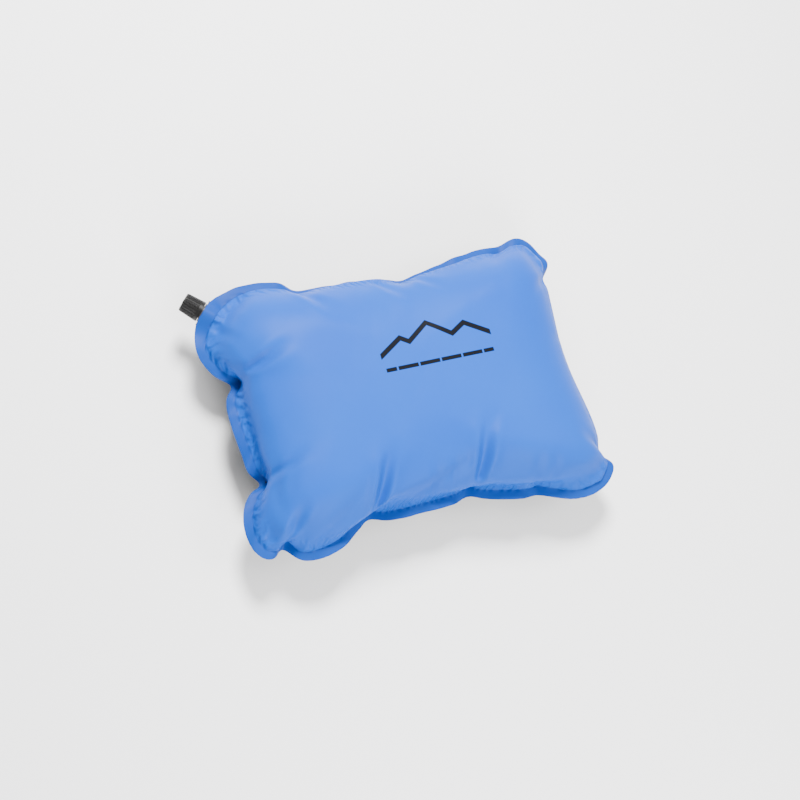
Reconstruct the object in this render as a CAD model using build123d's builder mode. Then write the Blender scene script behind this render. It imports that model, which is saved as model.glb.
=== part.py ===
"""Self-inflating camp pillow, inflated and lying on its back, with a twist valve in one corner.

Two coated fabric panels are welded together round a flat margin and hold a foam core that is
bonded to both. One corner is cut straight across. There a soft boat-shaped sleeve is welded
between the panels, and it grips a rigid threaded stem. A knurled cap screws outwards along the
stem and uncovers a fixed plug in its mouth.

Millimetres. +Z is up through the thickness, the long side is along X, and the valve corner is
at -X +Y. The origin is the centre of the flat on the underside.
"""

import os
from math import cos, radians, sin, tan

from build123d import *

# Pillow
pillow_length = 420.0  # over the margin, at the corners
pillow_width = 300.0
pillow_thickness = 100.0
fabric = 0.5  # coated fabric, one layer
margin_width = 11.0  # welded margin outside the seam
draw_in = 18.0  # how far inflation pulls in the middle of each side
corner_radius = 42.0  # of the margin's outer edge
shoulder = 80.0  # from the seam in to where the face is flat
flat_corner_radius = 36.0  # of the flat on each face
flat_draw_in = 1.5
shoulder_steps = 6

# Cut corner
cut_angle = 47.0  # of the cut edge, from the X axis
cut_depth = 28.0  # from the square corner in to the cut edge
cut_corner_radius = 24.0
valve_margin_width = 16.0  # the margin is wider where it holds the sleeve

# Stem
stem_radius = 7.0
stem_wall = 2.2
stem_protrusion = 5.0  # beyond the sleeve, into the pillow
anchor_rib_height = 1.0
anchor_rib_width = 1.5
anchor_rib_places = (0.2, 0.6)  # shares of the sleeve's length, from its inner end
collar_width = 3.0
collar_height = 1.2
inlet_slot_width = 3.0
inlet_slot_depth = 3.0
inlet_slot_count = 4

# Sleeve
sleeve_wall = 1.0  # over the stem's anchor ribs
sleeve_tip_radius = 0.6
sleeve_half_span = 14.5
sleeve_setback = 1.0  # from the seam to the sleeve's inner end
foam_pocket_clearance = 2.0
foam_pocket_depth = 6.0  # beyond the stem's inner end

# Thread and its travel
lead = 3.0  # one turn opens the valve
thread_turns = 1.9
thread_start = 2.4
thread_height = 1.3
thread_root_width = 1.7
thread_crest_width = 0.9
thread_clearance = 0.2
thread_sink = 0.25  # how far the ridge is rooted in the stem

# Cap
cap_gap = 0.3  # between the collar and the closed cap
cap_wall = 2.3  # of the plain band, round the widest hollow inside
cap_band_length = 4.0
knurl_step = 0.2  # from the plain band down to the knurl
knurl_taper = 0.9  # over the knurl's length, in radius
cap_end_chamfer = 1.2
cap_end_relief = 0.9
cap_bore_clearance = 0.35
nut_length = 7.5  # threaded part of the cap's bore
chamber_clearance = 0.4
neck_clearance = 0.2
neck_length = 3.6
end_chamber_length = 3.2
end_wall = 2.5
flute_count = 24
flute_radius = 0.8
flute_depth = 0.5

# Land, snap bead and seals
bead_height = 0.8
bead_width = 0.9
bead_gap = 0.1  # between the open cap's nut and the bead
land_step = 0.5  # from the stem down to the land
ring_clearance = 0.05
ring_section_radius = 0.7
ring_groove_width = 2.0
gasket_width = 1.55
gasket_thickness = 1.4
plug_radius = 3.4
plug_clearance = 0.2  # in the cap's mouth
plug_tip_radius = 2.2
plug_shoulder = 0.4  # plug starts this far inside the end wall
plug_proud = 0.3  # of the closed cap's end
plug_cone_length = 1.2
pin_radius = 2.2
spigot_radius = 1.5
spigot_length = 1.9
spoke_count = 3
spoke_width = 1.4
spoke_setback = 4.0  # from the end of the land to the spokes
spoke_length = 6.0
spoke_root = 0.5  # into the stem's wall

# Worked out from the above
middle = pillow_thickness / 2
half_length, half_width = pillow_length / 2, pillow_width / 2
cut_normal = Vector(-sin(radians(cut_angle)), cos(radians(cut_angle)), 0)
cut_along = Vector(-cos(radians(cut_angle)), -sin(radians(cut_angle)), 0)
corner_to_cut = Vector(-half_length, half_width, 0).dot(cut_normal)
cut_distance = corner_to_cut - cut_depth
seam_length, seam_width = half_length - margin_width, half_width - margin_width
seam_cut_depth = Vector(-seam_length, seam_width, 0).dot(cut_normal) - (
    cut_distance - valve_margin_width
)

stem_bore_radius = stem_radius - stem_wall
collar_radius = stem_radius + collar_width
land_radius = stem_radius - land_step
sleeve_reach = valve_margin_width - sleeve_setback
sleeve_radius = stem_radius + anchor_rib_height + sleeve_wall
stem_inner_reach = sleeve_reach + stem_protrusion
cover_reach = valve_margin_width + shoulder / 2

cap_start = collar_height + cap_gap
nut_end = cap_start + nut_length
bead_start = nut_end + lead + bead_gap
bead_end = bead_start + bead_width
neck_start = bead_end + neck_clearance
neck_end = neck_start + neck_length
end_wall_start = neck_end + end_chamber_length
cap_end = end_wall_start + end_wall
ring_place = (neck_start + neck_end) / 2
land_end = ring_place + lead + ring_section_radius + plug_shoulder
plug_start = end_wall_start - plug_shoulder
plug_end = cap_end + plug_proud
spoke_end = land_end - spoke_setback
spoke_start = spoke_end - spoke_length

chamber_radius = stem_radius + thread_height + chamber_clearance
neck_radius = land_radius + neck_clearance
groove_radius = land_radius + 2 * (ring_clearance + ring_section_radius)
mouth_radius = plug_radius + plug_clearance
gasket_radius = plug_radius + ring_clearance + gasket_width
cap_radius = chamber_radius + cap_wall
knurl_base_radius = cap_radius - knurl_step
knurl_end_radius = knurl_base_radius - knurl_taper
cap_end_radius = knurl_end_radius - cap_end_relief


def cut_circle_centres(length, width, radius, depth):
    """Centres of the two arcs at the ends of the cut edge: the upper one, then the lower one."""
    distance = Vector(-length, width, 0).dot(cut_normal) - depth - radius
    upper_y = width - radius
    lower_x = radius - length
    upper = Vector((distance - cut_normal.Y * upper_y) / cut_normal.X, upper_y, 0)
    lower = Vector(lower_x, (distance - cut_normal.X * lower_x) / cut_normal.Y, 0)
    return upper, lower


def drawn_in_side(start, start_radius, end, end_radius, outward, sag):
    """Start, middle and end of the concave arc that is tangent to two corner arcs."""
    along = outward.cross(Vector(0, 0, -1))
    span = (end - start).dot(along)
    to_middle = (span + 2 * sag * (start_radius - end_radius) / span) / 2
    radius = (to_middle**2 - sag * (2 * start_radius - sag)) / (2 * sag)
    centre = start + along * to_middle + outward * (radius + start_radius - sag)
    first = start + (centre - start).normalized() * start_radius
    last = end + (centre - end).normalized() * end_radius
    return first, centre - outward * radius, last


def outline(length, width, radius, sag, cut_radius, depth):
    """The pillow's outline, of these half sizes, as a sketch."""
    upper, lower = cut_circle_centres(length, width, cut_radius, depth)
    low_left = Vector(radius - length, radius - width, 0)
    low_right = Vector(length - radius, radius - width, 0)
    top_right = Vector(length - radius, width - radius, 0)
    centres = [low_left, low_right, top_right, upper, lower]
    radii = [radius, radius, radius, cut_radius, cut_radius]
    outwards = [Vector(0, -1, 0), Vector(1, 0, 0), Vector(0, 1, 0), cut_normal, Vector(-1, 0, 0)]
    sides = []
    for i, outward in enumerate(outwards):
        j = (i + 1) % len(centres)
        if outward is cut_normal:
            reach = cut_normal * cut_radius
            halfway = (upper + lower) / 2 + reach
            sides.append((upper + reach, halfway, lower + reach))
        else:
            sides.append(drawn_in_side(centres[i], radii[i], centres[j], radii[j], outward, sag))
    with BuildSketch() as shape:
        with BuildLine():
            for i, (first, halfway, last) in enumerate(sides):
                j = (i + 1) % len(centres)
                following = sides[j][0]
                bisector = (last - centres[j]).normalized() + (following - centres[j]).normalized()
                if outwards[i] is cut_normal:
                    Line(first, last)
                else:
                    ThreePointArc(first, halfway, last)
                ThreePointArc(last, centres[j] + bisector.normalized() * radii[j], following)
        make_face()
    return shape.sketch


def inflated_half(side, skin=0.0):
    """One half of the inflated pillow, up for side 1 and down for -1, less a skin."""
    depth = shoulder - skin
    with BuildPart() as half:
        for step in range(shoulder_steps + 1):
            turn = radians(90 * step / shoulder_steps)
            inset = depth * (1 - cos(turn))
            share = inset / depth
            seam_radius = corner_radius - margin_width - skin
            with BuildSketch(Plane.XY.offset(middle + side * (middle - skin) * sin(turn))):
                add(
                    outline(
                        seam_length - skin - inset,
                        seam_width - skin - inset,
                        seam_radius + share * (flat_corner_radius - seam_radius),
                        draw_in + share * (flat_draw_in - draw_in),
                        cut_corner_radius,
                        seam_cut_depth * (1 - share / 3),
                    )
                )
        loft()
    return half.part


# The valve's own frame: z runs out of the corner, y is up
cut_upper, cut_lower = cut_circle_centres(half_length, half_width, cut_corner_radius, cut_depth)
cut_middle = (cut_upper + cut_lower) / 2 + cut_normal * cut_corner_radius
valve_origin = Vector(cut_middle.X, cut_middle.Y, middle)
valve_plane = Plane(origin=valve_origin, x_dir=cut_along, z_dir=cut_normal)
valve_axis = Axis(valve_origin, cut_normal)
axial_plane = Plane(origin=valve_origin, x_dir=cut_along, z_dir=cut_along.cross(cut_normal))


def sleeve_shape(growth=0.0):
    """The sleeve's boat-shaped cross-section as a sketch."""
    with BuildSketch() as shape:
        with Locations((-sleeve_half_span, 0), (sleeve_half_span, 0)):
            Circle(sleeve_tip_radius + growth)
        Circle(sleeve_radius + growth)
        make_hull()
    return shape.sketch


def band(inner, outer, start, end, mode=Mode.ADD):
    """Adds a rectangle to the axial sketch, from radius to radius and from place to place."""
    with Locations(((inner + outer) / 2, (start + end) / 2)):
        Rectangle(outer - inner, end - start, mode=mode)


def thread(start, turns, growth=0.0):
    """The ridge that winds along the stem, or, grown, the groove that it runs in."""
    with BuildPart() as ridge:
        with BuildLine():
            path = Helix(
                pitch=lead,
                height=turns * lead,
                radius=stem_radius,
                center=valve_origin + cut_normal * start,
                direction=cut_normal,
            )
        foot = path @ 0
        outwards = foot - valve_origin - cut_normal * start
        root = thread_root_width / 2 + growth
        crest = thread_crest_width / 2 + growth
        with BuildSketch(Plane(origin=foot, x_dir=outwards, z_dir=path % 0)):
            with BuildLine():
                Polyline(
                    (-thread_sink, -root), (thread_height + growth, -crest),
                    (thread_height + growth, crest), (-thread_sink, root), close=True,
                )
            make_face()
        sweep(path=path, is_frenet=True)
    return ridge.part


def panel(side, name):
    """One fabric panel: its inflated face, its margin, and its cover over the sleeve."""
    with BuildPart() as cloth:
        add(inflated[side])
        with BuildSketch(Plane.XY.offset(middle)):
            add(margin_outline)
        extrude(amount=side * fabric)
        with BuildSketch(valve_plane):
            add(sleeve_shape(growth=fabric))
        extrude(amount=-cover_reach)
        split(bisect_by=Plane.XY.offset(middle), keep=Keep.TOP if side > 0 else Keep.BOTTOM)
        add(foam_halves[side], mode=Mode.SUBTRACT)
        with BuildSketch(valve_plane):
            add(sleeve_shape())
        extrude(amount=-cover_reach, mode=Mode.SUBTRACT)
    cloth.part.label = name
    return cloth


def anchor_ribs(inner):
    """Adds the rings that hold the stem in the sleeve to the axial sketch."""
    for share in anchor_rib_places:
        place = (share - 1) * sleeve_reach
        band(inner, stem_radius + anchor_rib_height, place, place + anchor_rib_width)


margin_outline = outline(
    half_length, half_width, corner_radius, draw_in, cut_corner_radius, cut_depth
)
inflated = {side: inflated_half(side) for side in (1, -1)}
foam_halves = {side: inflated_half(side, skin=fabric) for side in (1, -1)}
stem_thread = thread(thread_start, thread_turns)
cap_groove = thread(
    thread_start - lead, (nut_end - thread_start) / lead + 1.5, growth=thread_clearance
)

front_panel = panel(1, "front_panel")
back_panel = panel(-1, "back_panel")

with BuildPart() as foam_core:
    add(foam_halves[1])
    add(foam_halves[-1])
    with BuildSketch(valve_plane.offset(-sleeve_reach)):
        add(sleeve_shape(growth=foam_pocket_clearance))
    pocket = stem_inner_reach - sleeve_reach + foam_pocket_depth
    extrude(amount=-pocket, mode=Mode.SUBTRACT)
foam_core.part.label = "foam_core"

with BuildPart() as valve_sleeve:
    with BuildSketch(valve_plane):
        add(sleeve_shape())
    extrude(amount=-sleeve_reach)
    with BuildSketch(axial_plane):
        band(0, stem_radius, -sleeve_reach, 0)
        anchor_ribs(0)
    revolve(axis=valve_axis, mode=Mode.SUBTRACT)
valve_sleeve.part.label = "valve_sleeve"

with BuildPart() as valve_stem:
    with BuildSketch(axial_plane):
        band(stem_bore_radius, stem_radius, -stem_inner_reach, bead_end)
        band(stem_bore_radius, collar_radius, 0, collar_height)
        band(stem_bore_radius, stem_radius + bead_height, bead_start, bead_end)
        band(stem_bore_radius, land_radius, bead_end, land_end)
        anchor_ribs(stem_bore_radius)
    revolve(axis=valve_axis)
    with BuildSketch(valve_plane.offset(-stem_inner_reach)):
        with PolarLocations(0, inlet_slot_count // 2, angular_range=180):
            Rectangle(2 * stem_radius + 1, inlet_slot_width)
    extrude(amount=inlet_slot_depth, mode=Mode.SUBTRACT)
    with BuildSketch(valve_plane.offset(spoke_start)):
        with PolarLocations((stem_bore_radius + spoke_root) / 2, spoke_count):
            Rectangle(stem_bore_radius + spoke_root, spoke_width)
        Circle(pin_radius)
    extrude(amount=spoke_end - spoke_start)
    with BuildSketch(axial_plane):
        band(0, pin_radius, spoke_start, plug_start)
        band(0, spigot_radius, plug_start, plug_start + spigot_length)
    revolve(axis=valve_axis)
    add(stem_thread)
valve_stem.part.label = "valve_stem"

with BuildPart() as plug_tip:
    with BuildSketch(axial_plane):
        with BuildLine():
            Polyline(
                (0, plug_start), (plug_radius, plug_start),
                (plug_radius, plug_end - plug_cone_length),
                (plug_tip_radius, plug_end), (0, plug_end), close=True,
            )
        make_face()
        band(0, spigot_radius, plug_start, plug_start + spigot_length, mode=Mode.SUBTRACT)
    revolve(axis=valve_axis)
plug_tip.part.label = "plug_tip"

with BuildPart() as valve_cap:
    knurl_start = cap_start + cap_band_length
    with BuildSketch(axial_plane):
        with BuildLine():
            Polyline(
                (0, cap_start), (cap_radius, cap_start), (cap_radius, knurl_start),
                (knurl_base_radius, knurl_start),
                (knurl_end_radius, cap_end - cap_end_chamfer), (cap_end_radius, cap_end),
                (0, cap_end), close=True,
            )
        make_face()
        band(0, stem_radius + cap_bore_clearance, cap_start, nut_end, mode=Mode.SUBTRACT)
        band(0, chamber_radius, nut_end, neck_start, mode=Mode.SUBTRACT)
        band(0, neck_radius, neck_start, neck_end, mode=Mode.SUBTRACT)
        groove_start = ring_place - ring_groove_width / 2
        band(0, groove_radius, groove_start, groove_start + ring_groove_width, mode=Mode.SUBTRACT)
        band(0, neck_radius, neck_end, end_wall_start, mode=Mode.SUBTRACT)
        gasket_end = end_wall_start + gasket_thickness
        band(0, gasket_radius, end_wall_start, gasket_end, mode=Mode.SUBTRACT)
        band(0, mouth_radius, end_wall_start, cap_end, mode=Mode.SUBTRACT)
    revolve(axis=valve_axis)
    add(cap_groove, mode=Mode.SUBTRACT)
    knurl_length = cap_end - knurl_start
    taper = (knurl_base_radius - knurl_end_radius) / (knurl_length - cap_end_chamfer)
    flute_at = knurl_base_radius + flute_radius - flute_depth
    for flute in range(flute_count):
        turn = radians(360 * flute / flute_count)
        radial = cut_along * cos(turn) + Vector(0, 0, 1) * sin(turn)
        foot = valve_origin + cut_normal * knurl_start + radial * flute_at
        along_cone = cut_normal - radial * taper
        with BuildSketch(Plane(origin=foot, x_dir=radial.cross(cut_normal), z_dir=along_cone)):
            Circle(flute_radius)
    extrude(amount=knurl_length + 1, mode=Mode.SUBTRACT)
valve_cap.part.label = "valve_cap"

with BuildPart() as cap_o_ring:
    with BuildSketch(axial_plane):
        with Locations((land_radius + ring_clearance + ring_section_radius, ring_place)):
            Circle(ring_section_radius)
    revolve(axis=valve_axis)
cap_o_ring.part.label = "cap_o_ring"

with BuildPart() as mouth_gasket:
    with BuildSketch(axial_plane):
        band(plug_radius + ring_clearance, gasket_radius, end_wall_start, gasket_end)
    revolve(axis=valve_axis)
mouth_gasket.part.label = "mouth_gasket"

pieces = [
    front_panel, back_panel, foam_core, valve_sleeve, valve_stem,
    plug_tip, valve_cap, cap_o_ring, mouth_gasket,
]
os.makedirs("parts", exist_ok=True)
for piece in pieces:
    export_step(piece.part, f"parts/{piece.part.label}.step")
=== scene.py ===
import math

import bmesh
import bpy
import numpy as np
from mathutils import Matrix, Vector


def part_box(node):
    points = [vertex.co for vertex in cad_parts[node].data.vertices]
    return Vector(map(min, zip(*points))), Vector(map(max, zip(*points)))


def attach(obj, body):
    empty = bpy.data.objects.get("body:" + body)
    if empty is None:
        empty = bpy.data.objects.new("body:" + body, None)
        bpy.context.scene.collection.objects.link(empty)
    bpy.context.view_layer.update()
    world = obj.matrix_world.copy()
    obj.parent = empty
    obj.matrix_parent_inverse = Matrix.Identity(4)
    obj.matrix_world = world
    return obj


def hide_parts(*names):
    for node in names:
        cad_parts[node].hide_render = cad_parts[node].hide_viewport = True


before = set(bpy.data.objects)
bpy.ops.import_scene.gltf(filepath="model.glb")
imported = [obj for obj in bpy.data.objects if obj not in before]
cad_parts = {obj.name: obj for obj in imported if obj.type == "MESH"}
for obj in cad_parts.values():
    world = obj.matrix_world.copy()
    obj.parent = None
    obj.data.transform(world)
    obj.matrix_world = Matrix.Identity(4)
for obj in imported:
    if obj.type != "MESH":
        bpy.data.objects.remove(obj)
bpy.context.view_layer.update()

mm = 0.001
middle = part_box("front_panel")[0][2]  # height of the welded seam over the ground
print("camp pillow: frame loaded")


view = {
    "lens": 67.5,
    "distance": 1.571,
    "right": (0.9134, -0.2723, 0.3026),
    "up": (0.1973, 0.9464, 0.2559),
    "back": (-0.356, -0.174, 0.9181),
    "aimAcross": -0.0088,
    "aimUp": -0.0042,
}


def addCamera():
    axes = Matrix((view["right"], view["up"], view["back"])).transposed()
    aim = Vector((0, 0, middle)) + axes @ Vector((view["aimAcross"], view["aimUp"], 0))
    camera = bpy.data.objects.new("camera", bpy.data.cameras.new("camera"))
    camera.data.lens = view["lens"]
    camera.data.sensor_width = 36
    camera.data.clip_end = 100
    camera.matrix_world = Matrix.Translation(aim + axes.col[2] * view["distance"]) @ axes.to_4x4()
    bpy.context.collection.objects.link(camera)
    bpy.context.scene.camera = camera


addCamera()


# Each side runs anticlockwise from corner to corner: x and y from the pillow's centre and the
# height over the middle, in mm. The tight dips are where the margin has buckled.
seamSides = {
    "bottom": [
        (-190, -121, 0), (-179, -125, 0), (-169, -113, -3), (-158, -130, 0), (-140, -133, 2),
        (-112, -126, 1), (-90, -112, -2), (-77, -104, -4), (-64, -111, -1), (-35, -113, 2),
        (5, -112, 1), (26, -110, -2), (37, -105, -4), (49, -113, -1), (85, -122, 2),
        (104, -124, 0), (113, -122, -4), (122, -127, 0), (155, -138, 1), (187, -134, 0),
    ],
    "right": [
        (187, -134, 0), (200, -117, 0), (191, -102, -4), (197, -84, 0), (191, -48, 0),
        (185, -10, -2), (184, 25, -2), (188, 58, 0), (192, 82, 0), (187, 95, -3), (197, 110, 0),
        (190, 125, -3),
    ],
    "top": [
        (190, 125, -3), (182, 137, 0), (166, 139, 1), (149, 132, -4), (130, 135, 0),
        (95, 129, 1), (52, 122, 0), (27, 120, -5), (6, 128, 0), (-30, 130, 0), (-64, 129, 0),
        (-86, 128, -5), (-106, 137, 0), (-132, 141, 1), (-156, 137, 1), (-176, 124, 0),
    ],
    "left": [
        (-176, 124, 0), (-190, 108, 0), (-197, 88, 0), (-185, 65, -3), (-168, 51, -5),
        (-180, 36, -1), (-182, 10, 1), (-179, -22, 0), (-177, -42, -2), (-168, -56, -5),
        (-185, -69, -1), (-195, -88, 1), (-196, -108, 1), (-190, -121, 0),
    ],
}
flat = {"halfLength": 210, "halfWidth": 140, "corner": 26, "valveCorner": 44}
cloth = {
    "cellsLong": 100, "cellsWide": 62, "rings": 18,
    "innerHalfLength": 152, "innerHalfWidth": 92,
    "crown": 55, "shoulder": 84, "kinkReach": 22,
    "ease": 22.0,  # how far each panel's middle is stretched out of flat, in mm
    "waitFrames": 3, "drawFrames": 20, "frames": 32,  # the margin is drawn in between the first two
    "quality": 5, "mass": 0.01, "airDamping": 4, "stretch": 30, "shear": 10, "bend": 0.15,
    "damping": 1, "bendDamping": 0.5, "pressure": 30,
    "fullHeight": 53.5, "lowestPoint": 0.4,  # the blown-up half heights, in mm
    "broadRounds": 60, "broadKept": 0.12, "cap": 6,  # mm that a wrinkle may move the cloth
    "calmed": 5, "middleKept": 0.16, "wrinkleReach": 62,
    "rounding": 5, "backFolds": 0.7,  # mm at the ground, and how deep the back's folds are to the front's
    "foldFade": 9,  # mm from the seam over which a fold begins
}


def catmullRom(points, steps=24):
    points = np.array(points, float)
    padded = np.vstack((2 * points[0] - points[1], points, 2 * points[-1] - points[-2]))
    t = np.linspace(0, 1, steps, endpoint=False)[:, None]
    line = []
    for a, b, c, d in zip(padded, padded[1:], padded[2:], padded[3:]):
        line.append(0.5 * (2 * b + (c - a) * t + (2 * a - 5 * b + 4 * c - d) * t**2
                           + (3 * b - a - 3 * c + d) * t**3))
    line.append(points[-1:])
    return np.vstack(line)


def evenly(line, shares):
    lengths = np.concatenate(([0], np.cumsum(np.linalg.norm(np.diff(line, axis=0), axis=1))))
    return np.stack([np.interp(shares * lengths[-1], lengths, axis) for axis in line.T], axis=1)


def arc(x, y, radius, start, end, steps=16):
    turn = np.radians(np.linspace(start, end, steps))
    return np.stack((x + radius * np.cos(turn), y + radius * np.sin(turn)), axis=1)


def flatSides():
    long, wide, r, v = flat["halfLength"], flat["halfWidth"], flat["corner"], flat["valveCorner"]
    low, high = (r - long, r - wide), (long - r, wide - r)
    lowRight, valve = (long - r, r - wide), (v - long, wide - v)
    return {
        "bottom": np.vstack((arc(*low, r, 225, 270), arc(*lowRight, r, 270, 315))),
        "right": np.vstack((arc(*lowRight, r, -45, 0), arc(*high, r, 0, 45))),
        "top": np.vstack((arc(*high, r, 45, 90), arc(*valve, v, 90, 135))),
        "left": np.vstack((arc(*valve, v, 135, 180), arc(*low, r, 180, 225))),
    }


sideOrder = ("bottom", "right", "top", "left")
seamLines = {side: catmullRom(seamSides[side]) for side in sideOrder}
flatLines = flatSides()


def softened(ring, reach):
    # a closed line of evenly numbered points, averaged over a reach counted in points
    count = math.ceil(3 * reach)
    offsets = np.arange(-count, count + 1)
    weights = np.exp(-0.5 * (offsets / reach) ** 2)
    return sum(w * np.roll(ring, o, axis=0) for w, o in zip(weights, offsets)) / weights.sum()


planRim = 2  # the plan is the square from -2 to 2, and its middle block from -1 to 1
marginStep = 0.1  # how far each row of the margin goes beyond the plan


def growRim(bm, rim, growth):
    grown = bmesh.ops.extrude_edge_only(bm, edges=rim)["geom"]
    verts = [v for v in grown if isinstance(v, bmesh.types.BMVert)]
    bmesh.ops.scale(bm, vec=(growth, growth, 1), verts=verts)
    return [e for e in grown if isinstance(e, bmesh.types.BMEdge) and all(v in verts for v in e.verts)]


def addGridPanel(bm):
    # a rectangular middle with rings round it
    bmesh.ops.create_grid(bm, x_segments=cloth["cellsLong"], y_segments=cloth["cellsWide"], size=1)
    rim = [edge for edge in bm.edges if edge.is_boundary]
    for ring in range(cloth["rings"]):
        rim = growRim(bm, rim, (cloth["rings"] + ring + 1) / (cloth["rings"] + ring))


def onSides(lines, plan):
    # the point of a closed outline that lies beyond each place on the plan
    x, y = plan[:, 0], plan[:, 1]
    reach = np.maximum(np.maximum(abs(x), abs(y)), 1e-9)
    x, y = x / reach, y / reach
    places = {
        "bottom": (y < -1 + 1e-6, (1 + x) / 2), "right": (x > 1 - 1e-6, (1 + y) / 2),
        "top": (y > 1 - 1e-6, (1 - x) / 2), "left": (x < -1 + 1e-6, (1 - y) / 2),
    }
    found = np.zeros((len(plan), lines["top"].shape[1]))
    for side in sideOrder:
        here, share = places[side]
        found[here] = evenly(lines[side], share[here])
    return found


def flatAndRaised(plan, side):
    # where each point of the plan lies on the flat panel, and on a first guess at the full one
    plan = plan[:, :2] + 1e-7
    reach = np.abs(plan).max(axis=1)[:, None]
    square = plan / np.maximum(reach, 1e-9)
    rimFlat, rimFull = onSides(flatLines, plan), onSides(seamLines, plan)
    smoothFull = onSides(smoothLines, plan)
    block = square * (cloth["innerHalfLength"], cloth["innerHalfWidth"])
    ringShare = np.clip(reach - 1, 0, 1)
    laid = np.where(reach <= 1, block * reach, block + (rimFlat - block) * ringShare)
    fromSeam = np.linalg.norm(rimFlat - laid, axis=1)[:, None]
    shoulder, crown = cloth["shoulder"], cloth["crown"]
    slope = math.pi / 2 * math.sqrt((shoulder**2 + crown**2) / 2)
    turn = np.clip(fromSeam / slope, 0, 1) * math.pi / 2
    inset = np.where(fromSeam < slope, shoulder * (1 - np.cos(turn)), shoulder + fromSeam - slope)
    whole = np.linalg.norm(rimFlat, axis=1)[:, None] - (slope - shoulder)
    kept = 1 - np.clip(inset / whole, 0, 1)
    kinked = (rimFull - smoothFull) * np.exp(-fromSeam / cloth["kinkReach"])
    raised = smoothFull * kept + kinked
    raised[:, 2:] += side * crown * np.sin(turn)
    domed = side * cloth["ease"] * np.sqrt(1 - (1 - np.clip(fromSeam / slope, 0, 1)) ** 2)
    return np.hstack((laid, domed)) * mm + (0, 0, middle), raised * mm + (0, 0, middle)


def makePillowCloth():
    bm = bmesh.new()
    addGridPanel(bm)
    front = bm.verts[:] + bm.edges[:] + bm.faces[:]
    copied = bmesh.ops.duplicate(bm, geom=front)
    backFaces = [g for g in copied["geom"] if isinstance(g, bmesh.types.BMFace)]
    for face in backFaces:
        face.material_index = 1
    bmesh.ops.reverse_faces(bm, faces=backFaces)
    rim = [v for v in bm.verts if max(abs(v.co.x), abs(v.co.y)) > planRim - 1e-4]
    bmesh.ops.remove_doubles(bm, verts=rim, dist=1e-4)
    mesh = bpy.data.meshes.new("pillowCloth")
    bm.to_mesh(mesh)
    bm.free()
    plan = np.empty(len(mesh.vertices) * 3)
    mesh.vertices.foreach_get("co", plan)
    plan = plan.reshape(-1, 3)
    isBack = np.zeros(len(plan), bool)
    for face in mesh.polygons:
        if face.material_index:
            isBack[list(face.vertices)] = True
    onRim = np.abs(plan[:, :2]).max(axis=1) > planRim - 1e-4
    laid, raised = flatAndRaised(plan, np.where(isBack, -1, 1)[:, None])
    raised[onRim] = onSides(seamLines, plan[onRim, :2]) * mm + (0, 0, middle)
    return mesh, plan, laid, raised, onRim, isBack


def blowUp(mesh, laid, raised, onRim):
    pillow = bpy.data.objects.new("pillowCloth", mesh)
    bpy.context.collection.objects.link(pillow)
    mesh.vertices.foreach_set("co", laid.ravel())
    pillow.shape_key_add(name="flat")
    fullKey = pillow.shape_key_add(name="full")
    fullKey.data.foreach_set("co", raised.ravel())
    for value, frameNumber in ((0, cloth["waitFrames"]), (1, cloth["drawFrames"])):
        fullKey.value = value
        fullKey.keyframe_insert("value", frame=frameNumber)
    seam = pillow.vertex_groups.new(name="seam")
    seam.add([int(i) for i in np.flatnonzero(onRim)], 1, "REPLACE")
    simulation = pillow.modifiers.new("cloth", "CLOTH")
    settings = simulation.settings
    settings.quality = cloth["quality"]
    settings.mass = cloth["mass"]
    settings.air_damping = cloth["airDamping"]
    settings.tension_stiffness = settings.compression_stiffness = cloth["stretch"]
    settings.shear_stiffness = cloth["shear"]
    settings.bending_stiffness = cloth["bend"]
    settings.tension_damping = settings.compression_damping = settings.shear_damping = cloth["damping"]
    settings.bending_damping = cloth["bendDamping"]
    settings.vertex_group_mass = "seam"
    settings.use_pressure = True
    settings.uniform_pressure_force = cloth["pressure"]
    settings.effector_weights.gravity = 0
    simulation.collision_settings.use_collision = False
    simulation.point_cache.frame_end = cloth["frames"]
    for frameNumber in range(1, cloth["frames"] + 1):
        bpy.context.scene.frame_set(frameNumber)
    blown = pillow.evaluated_get(bpy.context.evaluated_depsgraph_get()).to_mesh()
    points = np.empty(len(blown.vertices) * 3)
    blown.vertices.foreach_get("co", points)
    bpy.context.scene.frame_set(1)
    return pillow, points.reshape(-1, 3)


perSide = 100  # points of each side of the seam
sideShares = np.linspace(0, 1, perSide + 1)[:-1]
seamRing = np.vstack([evenly(seamLines[side], sideShares) for side in sideOrder])
smoothRing = softened(seamRing, 9)
smoothRing[:, 2] = 0


def bySide(ring):
    return {side: np.vstack((ring[i * perSide:(i + 1) * perSide], ring[(i + 1) * perSide % len(ring)]))
            for i, side in enumerate(sideOrder)}


smoothLines = bySide(smoothRing)
outward = np.roll(smoothRing, -4, axis=0) - np.roll(smoothRing, 4, axis=0)
outward = np.stack((outward[:, 1], -outward[:, 0]), axis=1)
outward = softened(outward / np.linalg.norm(outward, axis=1)[:, None], 3)
outward /= np.linalg.norm(outward, axis=1)[:, None]
outwardLines = bySide(outward)


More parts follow.
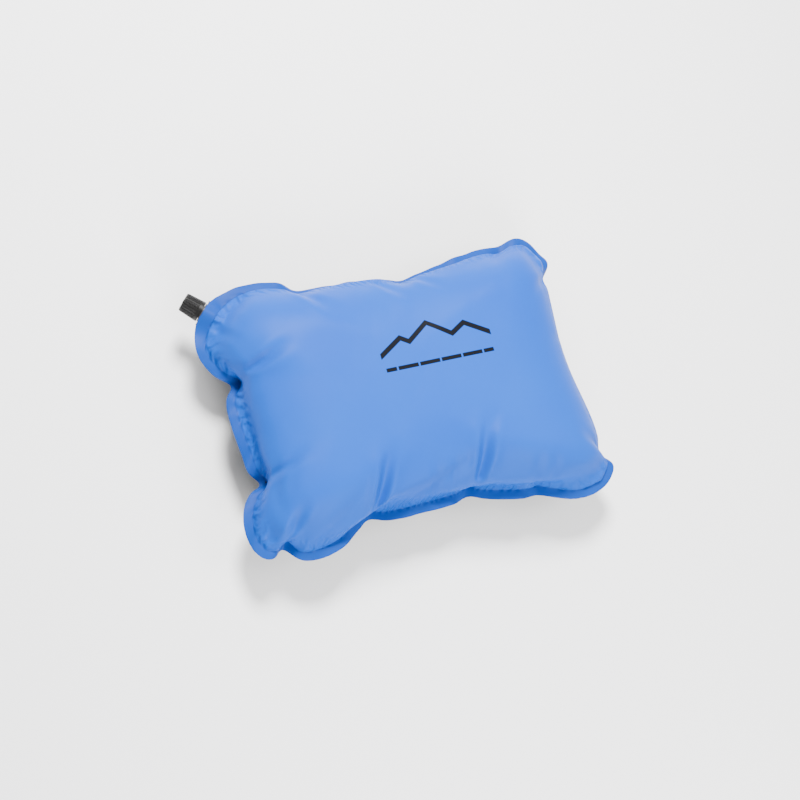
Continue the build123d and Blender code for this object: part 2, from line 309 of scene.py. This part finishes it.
margin = {
    "width": 10.5, "valveWidth": 15, "rows": 5, "layer": 0.3,  # mm; layer is half the welded thickness
    "ripple": 1, "rippleOut": 0.35,  # how strongly the edge waves up and down, and its share outwards
    "softening": 1.4, "valveReach": 24, "valveBack": -60,
    # how far the margin has folded back, in degrees, at shares of each side's length
    "foldedBack": {
        "bottom": ((0, 5), (0.04, 5), (0.063, 75), (0.086, 5), (0.29, 0), (0.316, 40), (0.345, 0),
                   (0.57, 0), (0.588, 30), (0.61, 0), (1, 3)),
        "left": ((0, 6), (0.3, 8), (0.321, 20), (0.345, 12), (0.69, 12), (0.726, 75), (0.76, 10), (1, 8)),
        "right": ((0, 5), (0.1, 20), (0.26, 62), (0.74, 64), (0.88, 45), (1, 12)),
        "top": ((0, 12), (0.16, 15), (0.4, 35), (0.5, 58), (0.66, 58), (0.76, 25), (0.9, 8), (1, 5)),
    },
}
valve = {
    "origin": (-191.192, 129.113), "axis": (-0.731354, 0.681998),
    "radius": 9.0, "halfSpan": 15.1, "clearance": 1.3, "beside": 3,  # mm, of the sleeve
    "fadeFrom": 42, "fadeOver": 18,  # how far inwards the fabric takes the sleeve's shape
}


def axisPlaces(points):
    # how far out along the valve's axis, and how far to its side, each point is, in mm
    across, out = points[:, :2] / mm - valve["origin"], np.array(valve["axis"])
    return across @ out, across @ np.array((-out[1], out[0]))


def marginRing():
    # the margin's outer edge, row by row with the seam's ring
    line = softened(seamRing, margin["softening"])
    along, aside = axisPlaces(line * mm)
    nearValve = np.exp(-(np.abs(aside) / margin["valveReach"]) ** 4) * (along > margin["valveBack"])
    width = margin["width"] + (margin["valveWidth"] - margin["width"]) * nearValve
    turns = np.arange(len(line)) / len(line) * 2 * math.pi
    folded = np.concatenate([
        np.interp(sideShares, *zip(*margin["foldedBack"][side])) for side in sideOrder])
    folded = folded * (1 - nearValve)
    tilt = np.radians(softened(folded[:, None], margin["softening"])[:, 0])
    wave = (np.sin(turns * 23 + 0.6) + 0.8 * np.sin(turns * 37 + 2.1) + 0.6 * np.sin(turns * 61 + 4))
    wave *= margin["ripple"] * (1 - nearValve)
    reach = width * np.cos(tilt)
    edge = line.copy()
    edge[:, :2] += outward * (reach + margin["rippleOut"] * wave)[:, None]
    edge[:, 2] += wave - width * np.sin(tilt)
    return edge


marginLines = bySide(marginRing())


def clearedSleeve(points, side):
    # fabric passes over the valve's boat-shaped sleeve, and closes on itself beside it
    out, aside = axisPlaces(points)
    aside = np.abs(aside)
    radius, tip = valve["radius"], valve["halfSpan"]
    touch = radius**2 / tip
    roof = np.where(aside < touch, np.sqrt(np.maximum(radius**2 - aside**2, 0)),
                    np.sqrt(radius**2 - touch**2) * (tip - aside) / (tip - touch))
    overSleeve = aside < tip + valve["beside"]
    roof = np.maximum(roof, 0) + valve["clearance"] * overSleeve
    fade = np.clip((out + valve["fadeFrom"]) / valve["fadeOver"], 0, 1) * overSleeve
    height = (points[:, 2] - middle) / mm * side
    return np.where(fade > 0, side * np.maximum(height, roof * fade), side * height) * mm + middle


def averaged(values, links, count, rounds):
    # spreads values over the mesh along its edges
    near, far = links
    shares = np.bincount(near, minlength=count) + np.bincount(far, minlength=count) + 1
    for _ in range(rounds):
        total = values.copy()
        for axis in range(values.shape[1]):
            total[:, axis] += np.bincount(near, values[far, axis], count)
            total[:, axis] += np.bincount(far, values[near, axis], count)
        values = total / shares[:, None]
    return values


# Folds, in both panels: from x, y to x, y in mm, half width, depth.
folds = [
    (-76, -112, -46, -44, 8, 11), (38, -110, 64, -36, 8, 10), (-14, -116, -2, -66, 6, 2.6),
    (8, -116, 20, -62, 6, 2.4), (100, -122, 108, -88, 6, 2.2), (122, -128, 124, -92, 6, 2.4),
    (-172, 54, -118, 72, 7, 6.5), (-172, -54, -132, -38, 6, 4.5), (-168, -116, -146, -84, 7, 5.5),
    (-90, 124, -64, 88, 8, 4), (-6, 124, 22, 88, 7, 3), (36, 122, 66, 92, 7, 3),
    (186, 92, 156, 74, 7, 3.2), (190, -100, 160, -82, 7, 3.6), (-186, 112, -166, 78, 5, 3),
    (186, 26, 164, 18, 7, 2),
]


def foldDepth(points, fadeOut):
    x, y = points[:, 0] / mm, points[:, 1] / mm
    depth = np.zeros(len(points))
    for x1, y1, x2, y2, halfWidth, deep in folds:
        length = math.hypot(x2 - x1, y2 - y1)
        ux, uy = (x2 - x1) / length, (y2 - y1) / length
        along = (x - x1) * ux + (y - y1) * uy
        aside = (x - x1) * -uy + (y - y1) * ux + 0.03 * along * np.sin(along / 9)
        taper = np.clip((length - along) / (0.75 * length), 0, 1) ** 1.3
        taper = taper * np.clip((along + 14) / 14, 0, 1)
        spread = halfWidth * (0.6 + 0.5 * np.clip(along / length, 0, 1))
        wide = aside / spread
        depth -= deep * taper * (1 - 0.9 * wide**2) * np.exp(-0.5 * wide**2)
    return depth * fadeOut


def settled(points, raised, laid, plan, isBack, onRim, links):
    # The wrinkles come from the simulation, and the broad form from the raised shape.
    count = len(points)
    moved = points - raised
    broad = averaged(moved, links, count, cloth["broadRounds"])
    wrinkles = averaged(moved - broad, links, count, cloth["calmed"])
    rim = onSides(flatLines, plan + 1e-7)[:, :2] * mm
    fromSeam = np.linalg.norm(rim - laid[:, :2], axis=1)[:, None] / mm
    nearSeam = np.exp(-(fromSeam / cloth["wrinkleReach"]) ** 2)
    wrinkles *= cloth["middleKept"] + (1 - cloth["middleKept"]) * nearSeam
    wrinkles[onRim] = 0
    size = np.linalg.norm(wrinkles, axis=1)[:, None] + 1e-9
    cap = cloth["cap"] * mm
    wrinkles *= cap * np.tanh(size / cap) / size
    points = raised + wrinkles + broad * cloth["broadKept"]
    rim = onSides(seamLines, plan + 1e-7)[:, :2] * mm
    inside = np.clip(np.linalg.norm(points[:, :2] - rim, axis=1) / (cloth["foldFade"] * mm), 0, 1)
    sides = np.where(isBack, -1, 1)
    points[:, 2] += sides * foldDepth(points, inside) * mm * np.where(isBack, cloth["backFolds"], 1)
    height = points[:, 2] - middle
    height *= np.where(height > 0, cloth["fullHeight"] * mm / height.max(), 1)
    floor = middle - cloth["lowestPoint"] * mm
    soft = cloth["rounding"] * mm
    low = np.minimum(height, 0) * max(1, 1.04 * floor / -height.min())
    low = -floor + soft * np.logaddexp(0, (low + floor) / soft)
    low *= floor / -low.min()
    points[:, 2] = middle + np.where(height > 0, height, np.minimum(low, 0))
    points[onRim] = raised[onRim]
    return points


print("sewing the two panels and blowing the pillow up")
sewn, sewnPlan, laid, raised, onRim, isBack = makePillowCloth()
blown, shaped = blowUp(sewn, laid, raised, onRim)
links = np.empty(len(sewn.edges) * 2, int)
sewn.edges.foreach_get("vertices", links)
shaped = settled(shaped, raised, laid, sewnPlan, isBack, onRim, links.reshape(-1, 2).T)


def placeNames(plan):
    return [(round(float(x), 4), round(float(y), 4)) for x, y in plan[:, :2]]


def makePanel(name, side):
    bm = bmesh.new()
    addGridPanel(bm)
    rim = [edge for edge in bm.edges if edge.is_boundary]
    for row in range(margin["rows"]):
        rim = growRim(bm, rim, (planRim + marginStep * (row + 1)) / (planRim + marginStep * row))
    bmesh.ops.recalc_face_normals(bm, faces=bm.faces[:])
    if (sum(face.normal.z for face in bm.faces) > 0) != (side > 0):
        bmesh.ops.reverse_faces(bm, faces=bm.faces[:])
    mesh = bpy.data.meshes.new(name)
    bm.to_mesh(mesh)
    bm.free()
    plan = np.empty(len(mesh.vertices) * 3)
    mesh.vertices.foreach_get("co", plan)
    plan = plan.reshape(-1, 3)
    reach = np.abs(plan[:, :2]).max(axis=1)
    inMargin = reach > planRim + 1e-4
    ours = np.flatnonzero((isBack | onRim) if side < 0 else (~isBack | onRim))
    known = dict(zip(placeNames(sewnPlan[ours]), ours))
    flatRim, seamPoint = onSides(flatLines, plan), onSides(seamLines, plan)
    edgePoint = onSides(marginLines, plan)
    share = np.clip((reach - planRim) / (marginStep * margin["rows"]), 0, 1)[:, None]
    points = (seamPoint + (edgePoint - seamPoint) * share) * mm + (0, 0, middle)
    lift = margin["layer"] * np.minimum(1, share[:, 0] * 4) * np.minimum(1, (1 - share[:, 0]) * 6)
    run = edgePoint - seamPoint  # along the margin, which may have folded back
    out = onSides(outwardLines, plan)
    away = np.column_stack((out * -run[:, 2:], (run[:, :2] * out).sum(axis=1)))
    away /= np.linalg.norm(away, axis=1)[:, None] + 1e-9
    points += side * lift[:, None] * away * mm
    cut = (flatRim + (edgePoint - seamPoint)[:, :2] * share) * mm
    inside = np.flatnonzero(~inMargin)
    found = [known[place] for place in placeNames(plan[inside])]
    points[inside] = shaped[found]
    cut[inside] = laid[found, :2]
    points[:, 2] = clearedSleeve(points, side)
    mesh.vertices.foreach_set("co", points.ravel())
    distance = np.linalg.norm(flatRim * mm - cut, axis=1) * np.where(inMargin, -1, 1)
    around = np.arctan2(flatRim[:, 1], flatRim[:, 0]) / (2 * math.pi)
    corners = np.empty(len(mesh.loops), int)
    mesh.loops.foreach_get("vertex_index", corners)
    mesh.uv_layers.new(name="cloth").data.foreach_set("uv", (cut[corners] + 0.25).ravel())
    turned = around[corners].reshape(-1, 4)
    turned += (turned < 0) * (np.ptp(turned, axis=1) > 0.5)[:, None]
    seamPlace = np.stack((turned.ravel(), distance[corners]), axis=1)
    mesh.uv_layers.new(name="seam").data.foreach_set("uv", seamPlace.ravel())
    mesh.polygons.foreach_set("use_smooth", [True] * len(mesh.polygons))
    panel = bpy.data.objects.new(name, mesh)
    bpy.context.collection.objects.link(panel)
    finer = panel.modifiers.new("finer", "SUBSURF")
    finer.levels = finer.render_levels = 1
    return panel


frontPanel = makePanel("pillowFront", 1)
backPanel = makePanel("pillowBack", -1)
bpy.data.objects.remove(blown)

core = {"size": (290, 168, 66), "roundness": 0.55}


def makeCore():
    bm = bmesh.new()
    bmesh.ops.create_cube(bm, size=2)
    bmesh.ops.subdivide_edges(bm, edges=bm.edges[:], cuts=15, use_grid_fill=True)
    for vert in bm.verts:
        ball = vert.co.normalized()
        vert.co = vert.co.lerp(ball, core["roundness"])
    bmesh.ops.scale(bm, vec=[size / 2 * mm for size in core["size"]], verts=bm.verts)
    bmesh.ops.translate(bm, vec=(0, 0, middle), verts=bm.verts)
    mesh = bpy.data.meshes.new("foamInside")
    bm.to_mesh(mesh)
    bm.free()
    mesh.polygons.foreach_set("use_smooth", [True] * len(mesh.polygons))
    foam = bpy.data.objects.new("foamInside", mesh)
    bpy.context.collection.objects.link(foam)
    return foam


foamInside = makeCore()
print("panels, margin and foam made")


class Wire:
    # a socket that takes part in sums
    def __init__(self, finish, socket):
        self.finish, self.socket = finish, socket

    def sum(self, operation, *others):
        return self.finish.node("ShaderNodeMath", {"operation": operation}, dict(enumerate((self, *others))))

    def __add__(self, other):
        return self.sum("ADD", other)

    def __sub__(self, other):
        return self.sum("SUBTRACT", other)

    def __rsub__(self, other):
        return self.finish.node("ShaderNodeMath", {"operation": "SUBTRACT"}, {0: other, 1: self})

    def __mul__(self, other):
        return self.sum("MULTIPLY", other)

    __radd__, __rmul__ = __add__, __mul__

    def absolute(self):
        return self.sum("ABSOLUTE")

    def sine(self):
        return self.sum("SINE")

    def smaller(self, other):
        return self.sum("MINIMUM", other)

    def larger(self, other):
        return self.sum("MAXIMUM", other)

    def step(self, low, high):
        return self.finish.node(
            "ShaderNodeMapRange", {"interpolation_type": "SMOOTHSTEP"},
            {"Value": self, "From Min": low, "From Max": high})


class Finish:
    def __init__(self, name):
        self.material = bpy.data.materials.new(name)
        self.material.use_nodes = True
        self.tree = self.material.node_tree
        self.tree.nodes.clear()
        self.output = self.tree.nodes.new("ShaderNodeOutputMaterial")

    def make(self, kind, settings=None, inputs=None):
        node = self.tree.nodes.new(kind)
        for key, value in (settings or {}).items():
            setattr(node, key, value)
        for key, value in (inputs or {}).items():
            if isinstance(value, Wire):
                self.tree.links.new(value.socket, node.inputs[key])
            else:
                node.inputs[key].default_value = value
        return node

    def node(self, kind, settings=None, inputs=None, output=0):
        return Wire(self, self.make(kind, settings, inputs).outputs[output])

    def parts(self, vector):
        node = self.make("ShaderNodeSeparateXYZ", None, {0: vector})
        return [Wire(self, socket) for socket in node.outputs]

    def objectPlace(self):
        return self.node("ShaderNodeTexCoord", None, None, "Object")

    def flatPlace(self, layer):
        return self.node("ShaderNodeUVMap", {"uv_map": layer})

    def noise(self, vector, scale, detail=3, roughness=0.5):
        return self.node("ShaderNodeTexNoise", None, {
            "Vector": vector, "Scale": scale, "Detail": detail, "Roughness": roughness})

    def mixed(self, share, first, second):
        return self.node("ShaderNodeMix", {"data_type": "RGBA"}, {0: share, 6: first, 7: second}, 2)

    def bump(self, height, distance, strength=1, under=None):
        inputs = {"Height": height, "Distance": distance, "Strength": strength}
        if under:
            inputs["Normal"] = under
        return self.node("ShaderNodeBump", None, inputs)

    def surface(self, inputs):
        shader = self.make("ShaderNodeBsdfPrincipled", None, inputs)
        self.tree.links.new(shader.outputs[0], self.output.inputs["Surface"])
        return self.material


frontCloth = {
    "blue": (0.0006, 0.066, 0.42, 1), "paleBlue": (0.0015, 0.086, 0.46, 1),
    # the margin's darker blue is painted shade of the flange, not a darker dye
    "shadedMarginBlue": (0.0006, 0.036, 0.23, 1), "ink": (0.001, 0.0015, 0.004, 1),
    "threads": 0.00055, "markAt": (0.025, 0.038),  # metres
    # in mm from the mark's place: each hill's place, height and slope, then the two lines
    "hills": ((-37, 13, 0.62), (-4, 24, 0.7), (36, 16, 0.58)), "lowestHill": -7,
    "hillLine": 3.1, "hillsEnd": (62.5, 63), "groundLine": 2.1, "groundDepth": 18, "groundEnd": (60.5, 61),
}
backCloth = {"grey": (0.011, 0.0105, 0.0135, 1), "paleGrey": (0.02, 0.019, 0.024, 1)}


def weave(finish, threads):
    u, v, _ = finish.parts(finish.flatPlace("cloth"))
    rate = 2 * math.pi / threads
    over = (u * rate).sine() * (v * rate).sine()
    twill = ((u + v) * (rate / 2)).sine()
    return over * 0.6 + twill * 0.4


def weldLines(finish):
    # fine puckers that run out of the seam, and the pressed line of the weld
    around, fromSeam, _ = finish.parts(finish.flatPlace("seam"))
    wobble = finish.noise(finish.flatPlace("cloth"), 45, 2)
    near = (1 - fromSeam.step(0.002, 0.026)) * fromSeam.step(-0.004, 0.003)
    puckers = (around * (2 * math.pi * 130) + wobble * 14).sine() * near
    pressed = 1 - fromSeam.absolute().step(0.0004, 0.002)
    return puckers, pressed, 1 - fromSeam.step(-0.0012, 0.0006)


def ridgeMark(finish):
    # a plain line of hills over a broken ground line
    x, y, z = finish.parts(finish.objectPlace())
    u, v = (x - frontCloth["markAt"][0]) * 1000, (y - frontCloth["markAt"][1]) * 1000
    hills = None
    for place, height, slope in frontCloth["hills"]:
        hill = height - (u - place).absolute() * slope
        hills = hill if hills is None else hills.larger(hill)
    hills = hills.larger(frontCloth["lowestHill"])
    ridge = 1 - ((v - hills).absolute() - frontCloth["hillLine"]).step(-0.25, 0.25)
    ridge = ridge * (1 - u.absolute().step(*frontCloth["hillsEnd"]))
    gaps = (u * 0.13).sine().absolute().step(0.1, 0.14)
    ground = 1 - ((v + frontCloth["groundDepth"]).absolute() - frontCloth["groundLine"]).step(-0.25, 0.25)
    ground = ground * (1 - u.absolute().step(*frontCloth["groundEnd"])) * gaps
    return ridge.larger(ground) * z.step(0.06, 0.065)


def makeFrontCloth():
    finish = Finish("frontSatin")
    place = finish.objectPlace()
    broad, fine = finish.noise(place, 9, 3), finish.noise(place, 260, 3, 0.6)
    puckers, pressed, inMargin = weldLines(finish)
    threads = weave(finish, frontCloth["threads"])
    paleness = (broad - 0.5) * 1.2 + 0.45 + (fine - 0.5) * 0.3
    colour = finish.mixed(paleness, frontCloth["blue"], frontCloth["paleBlue"])
    # The margin is mixed towards the darker blue as painted shade on the flange, which faces away from the
    # light; the weld's own pressed line darkens it a little too.
    colour = finish.mixed(inMargin * 0.75 + pressed * 0.25, colour, frontCloth["shadedMarginBlue"])
    mark = ridgeMark(finish)
    colour = finish.mixed(mark, colour, frontCloth["ink"])
    normal = finish.bump(threads + fine * 0.5, 0.00003, 0.6)
    normal = finish.bump(puckers, 0.0011, 0.8, normal)
    return finish.surface({
        "Base Color": colour, "Roughness": 0.5 + (broad - 0.5) * 0.12 + mark * 0.12, "Normal": normal,
        "Specular IOR Level": 0.1})


def makeBackCloth():
    finish = Finish("backBrushed")
    place = finish.objectPlace()
    broad, fine = finish.noise(place, 14, 3), finish.noise(place, 900, 3, 0.7)
    puckers, pressed, inMargin = weldLines(finish)
    threads = weave(finish, frontCloth["threads"] * 1.5)
    colour = finish.mixed(broad * 0.6 + fine * 0.4, backCloth["grey"], backCloth["paleGrey"])
    # The margin is mixed towards the darker grey as painted shade, as on the front; the weld's own pressed
    # line darkens it too.
    colour = finish.mixed(inMargin * 0.3 + pressed * 0.4, colour, backCloth["grey"])
    normal = finish.bump(threads + fine, 0.00006, 0.7)
    normal = finish.bump(puckers, 0.0011, 0.8, normal)
    return finish.surface({
        "Base Color": colour, "Roughness": 0.82 + (fine - 0.5) * 0.15, "Normal": normal,
        "Specular IOR Level": 0.15})


def makeFoamFinish():
    finish = Finish("openFoam")
    place = finish.objectPlace()
    cells = finish.node("ShaderNodeTexVoronoi", None, {"Vector": place, "Scale": 900})
    colour = finish.mixed(cells, (0.62, 0.56, 0.42, 1), (0.78, 0.73, 0.6, 1))
    return finish.surface({
        "Base Color": colour, "Roughness": 0.92, "Normal": finish.bump(cells, 0.0004, 0.8)})


capPlastic = {"black": (0.003, 0.0028, 0.0026, 1), "paler": (0.014, 0.013, 0.012, 1), "roughness": 0.42}


def makeCapPlastic():
    # moulded black plastic, hatched in fine diamonds where the fingers hold it
    finish = Finish("capPlastic")
    place = finish.objectPlace()
    x, y, z = finish.parts(place)
    (ox, oy), (ax, ay) = valve["origin"], valve["axis"]
    dx, dy = x * 1000 - ox, y * 1000 - oy
    out = dx * ax + dy * ay
    aside, up = dy * ax - dx * ay, (z - middle) * 1000
    turn = up.sum("ARCTAN2", aside)
    hatched = out.step(5.6, 6.1) * (1 - out.step(20.3, 20.8))
    diamonds = (turn * 24 + out * 2.6).sine().absolute().smaller((turn * 24 - out * 2.6).sine().absolute())
    diamonds = diamonds.step(0.05, 0.6) * hatched
    grain, wear = finish.noise(place, 5200, 3), finish.noise(place, 420, 3)
    # Paler on the diamond faces than in the grooves between them, and in random patches.
    paler = diamonds * 0.35 + wear.step(0.5, 0.75) * 0.3
    colour = finish.mixed(paler, capPlastic["black"], capPlastic["paler"])
    normal = finish.bump(grain, 0.00004, 0.5)
    normal = finish.bump(diamonds, 0.00035, 0.9, normal)
    return finish.surface({
        "Base Color": colour, "Roughness": capPlastic["roughness"] + (wear - 0.5) * 0.2, "Normal": normal,
        "Specular IOR Level": 0.3})


def makePlain(name, dark, pale, roughness, grainScale, depth):
    finish = Finish(name)
    place = finish.objectPlace()
    grain, broad = finish.noise(place, grainScale, 4, 0.6), finish.noise(place, grainScale / 12, 3)
    colour = finish.mixed(grain * 0.5 + broad * 0.5, dark, pale)
    return finish.surface({
        "Base Color": colour, "Roughness": roughness + (broad - 0.5) * 0.16,
        "Normal": finish.bump(grain, depth, 0.6)})


def dress(piece, material):
    piece.data.materials.clear()
    piece.data.materials.append(material)


dress(frontPanel, makeFrontCloth())
dress(backPanel, makeBackCloth())
dress(foamInside, makeFoamFinish())
plainFinishes = {  # dark and pale colours, roughness, grain scale and grain depth in metres
    "weldFilm": ((0.03, 0.035, 0.05, 1), (0.05, 0.058, 0.08, 1), 0.5, 2200, 0.00005),
    "stemPlastic": ((0.018, 0.018, 0.019, 1), (0.035, 0.034, 0.034, 1), 0.36, 3800, 0.00003),
    "sealRubber": ((0.012, 0.012, 0.012, 1), (0.028, 0.027, 0.026, 1), 0.72, 4600, 0.00006),
}
finishes = {name: makePlain(name, *values) for name, values in plainFinishes.items()}
finishes["capPlastic"] = makeCapPlastic()
for nodeName, finishName in (
        ("valve_cap", "capPlastic"), ("valve_stem", "stemPlastic"), ("valve_sleeve", "weldFilm"),
        ("plug_tip", "sealRubber"), ("cap_o_ring", "sealRubber"), ("mouth_gasket", "sealRubber")):
    dress(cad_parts[nodeName], finishes[finishName])
print("finishes made")

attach(frontPanel, "pillow")
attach(backPanel, "pillow")
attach(foamInside, "pillow")
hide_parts("front_panel")
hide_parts("back_panel")
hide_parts("foam_core")


studio = {
    "ground": (0.93, 0.93, 0.935, 1), "surround": (0.98, 0.985, 1, 1), "surroundStrength": 0.5,
    # across, up and towards the camera, in metres; then the size, and the power in watts
    "key": ((0.15, 1.45, 1.15), 0.6, 118),
    "low": ((0.6, -1.2, 1.1), 1.0, 52),
    "side": ((1.6, 0.3, 0.9), 0.9, 18),
}


def addLights():
    axes = Matrix((view["right"], view["up"], view["back"])).transposed()
    target = Vector((0, 0, middle))
    for name in ("key", "low", "side"):
        place, size, power = studio[name]
        lamp = bpy.data.lights.new(name, "AREA")
        lamp.shape, lamp.size, lamp.energy = "DISK", size, power
        light = bpy.data.objects.new(name, lamp)
        light.location = target + axes @ Vector(place)
        light.rotation_euler = (light.location - target).to_track_quat("Z", "Y").to_euler()
        bpy.context.collection.objects.link(light)


def addGround():
    bm = bmesh.new()
    bmesh.ops.create_grid(bm, x_segments=1, y_segments=1, size=4)
    mesh = bpy.data.meshes.new("ground")
    bm.to_mesh(mesh)
    bm.free()
    ground = bpy.data.objects.new("ground", mesh)
    finish = Finish("paleGround")
    finish.surface({"Base Color": studio["ground"], "Roughness": 0.9})
    dress(ground, finish.material)
    bpy.context.collection.objects.link(ground)


addLights()
addGround()
world = bpy.context.scene.world or bpy.data.worlds.new("surround")
bpy.context.scene.world = world
world.use_nodes = True
surround = world.node_tree.nodes["Background"]
surround.inputs["Color"].default_value = studio["surround"]
surround.inputs["Strength"].default_value = studio["surroundStrength"]
print("studio made")

bpy.context.view_layer.update()
